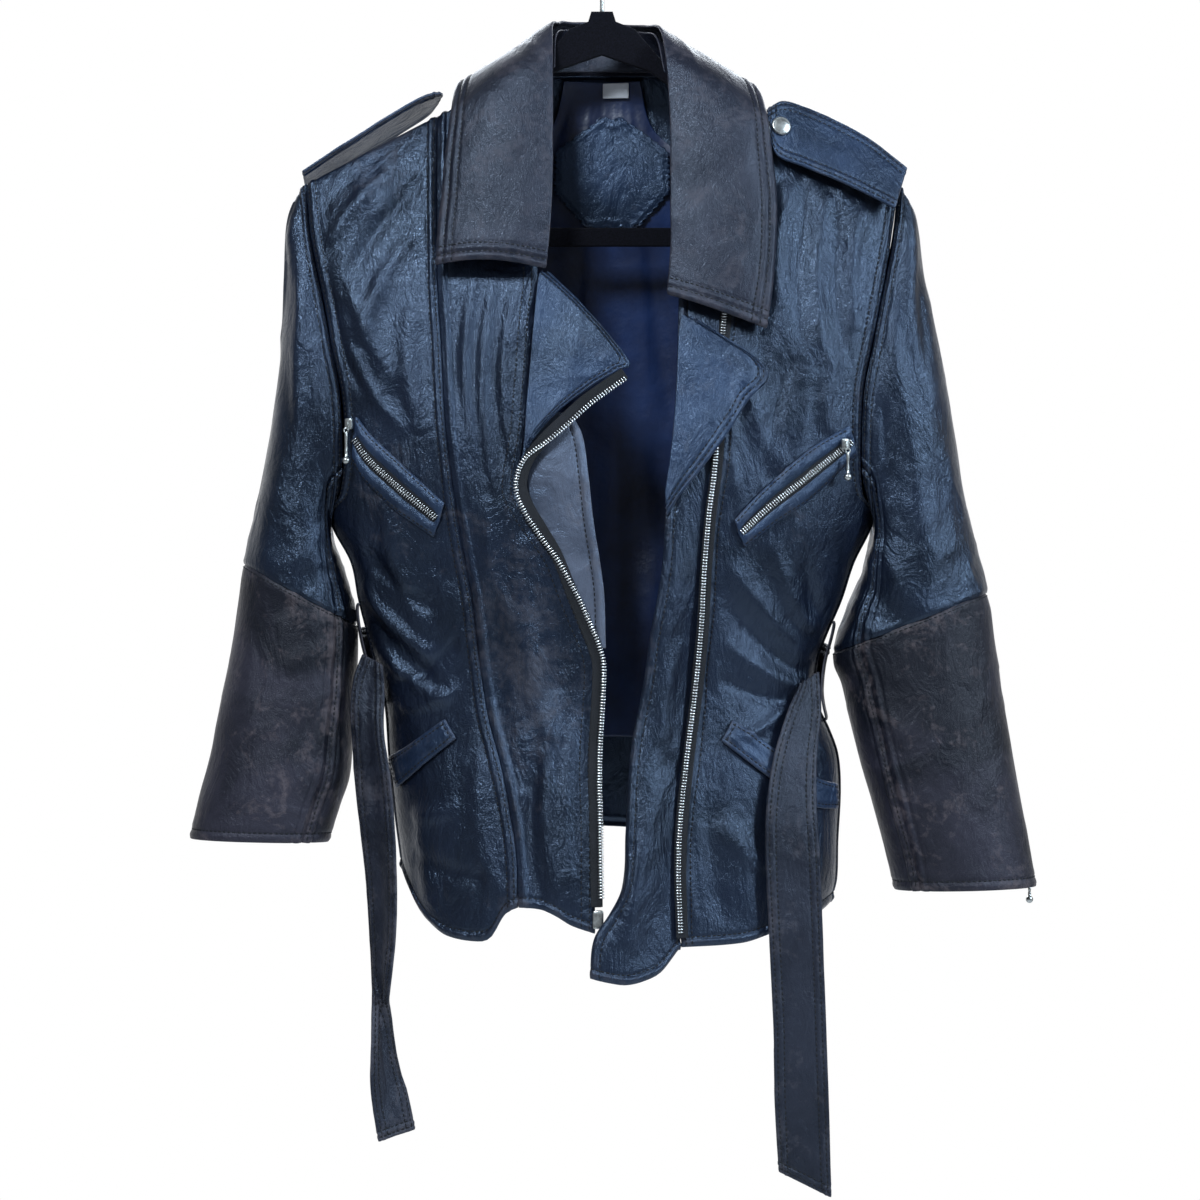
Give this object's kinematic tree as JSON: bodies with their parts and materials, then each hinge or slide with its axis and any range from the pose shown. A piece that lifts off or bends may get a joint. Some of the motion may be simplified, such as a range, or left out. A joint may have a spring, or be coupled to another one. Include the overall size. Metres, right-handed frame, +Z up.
{
  "type": "worn leather jacket on a hanger",
  "caption": "Worn dark leather biker jacket hanging open on a flocked hanger, with wide lapels, zips, epaulettes and a loose tie belt.",
  "frame": {"origin": "inside top of the hanger's hook, where a rail carries it", "axes": "+Z up, -Y out of the jacket's front, +X to the wearer's left"},
  "size_m": [0.6719, 0.2081, 0.9955],
  "materials": {
    "leather": "satin, creased",
    "worn_leather": "matt, rubbed",
    "zip_tape": "woven tape",
    "metal": "dulled nickel",
    "satin": "satin",
    "white_cloth": "woven",
    "flock": "flocked"
  },
  "bodies": {
    "jacket": {"side_front_r": "leather", "centre_front_r": "leather", "side_front_l": "leather", "back": "leather", "overlap_l": "leather", "facing_r": "leather", "welt_r": "leather", "welt_l": "leather", "chest_frame_r": "leather", "chest_frame_l": "leather", "epaulette_r": "leather", "epaulette_l": "leather", "sleeve_top_r": "leather", "sleeve_under_r": "leather", "sleeve_top_l": "leather", "sleeve_under_l": "leather", "belt_back": "leather", "belt_end_r": "leather", "belt_end_l": "leather", "loop_r": "leather", "loop_l": "leather", "collar": "worn_leather", "collar_stand": "worn_leather", "lapel_r": "worn_leather", "lapel_l": "worn_leather", "forearm_top_r": "worn_leather", "forearm_under_r": "worn_leather", "forearm_top_l": "worn_leather", "forearm_under_l": "worn_leather", "label_patch": "worn_leather", "zip_tape_r": "zip_tape", "zip_tape_l": "zip_tape", "chest_zip_r": "zip_tape", "chest_zip_l": "zip_tape", "cuff_zip_l": "zip_tape", "zip_box": "metal", "chest_slider_r": "metal", "chest_slider_l": "metal", "cuff_slider_l": "metal", "snap_r": "metal", "snap_l": "metal", "hook": "metal", "lining_back": "satin", "size_label": "white_cloth", "hanger": "flock"},
    "chest_pull_r": {"chest_pull_r": "metal"},
    "chest_pull_l": {"chest_pull_l": "metal"},
    "cuff_pull_l": {"cuff_pull_l": "metal"}
  },
  "joints": [
    {"name": "chest_pull_r_swing", "type": "hinge", "parent": "jacket", "child": "chest_pull_r", "pos_m": [-0.20013, -0.05301, -0.39684], "axis": [-1, 0, 0], "range_deg": [0, 110]},
    {"name": "chest_pull_l_swing", "type": "hinge", "parent": "jacket", "child": "chest_pull_l", "pos_m": [0.19197, -0.05663, -0.41287], "axis": [-1, 0, 0], "range_deg": [0, 110]},
    {"name": "cuff_pull_l_swing", "type": "hinge", "parent": "jacket", "child": "cuff_pull_l", "pos_m": [0.34199, 0.01748, -0.75743], "axis": [0, -1, 0], "range_deg": [0, 100]}
  ]
}
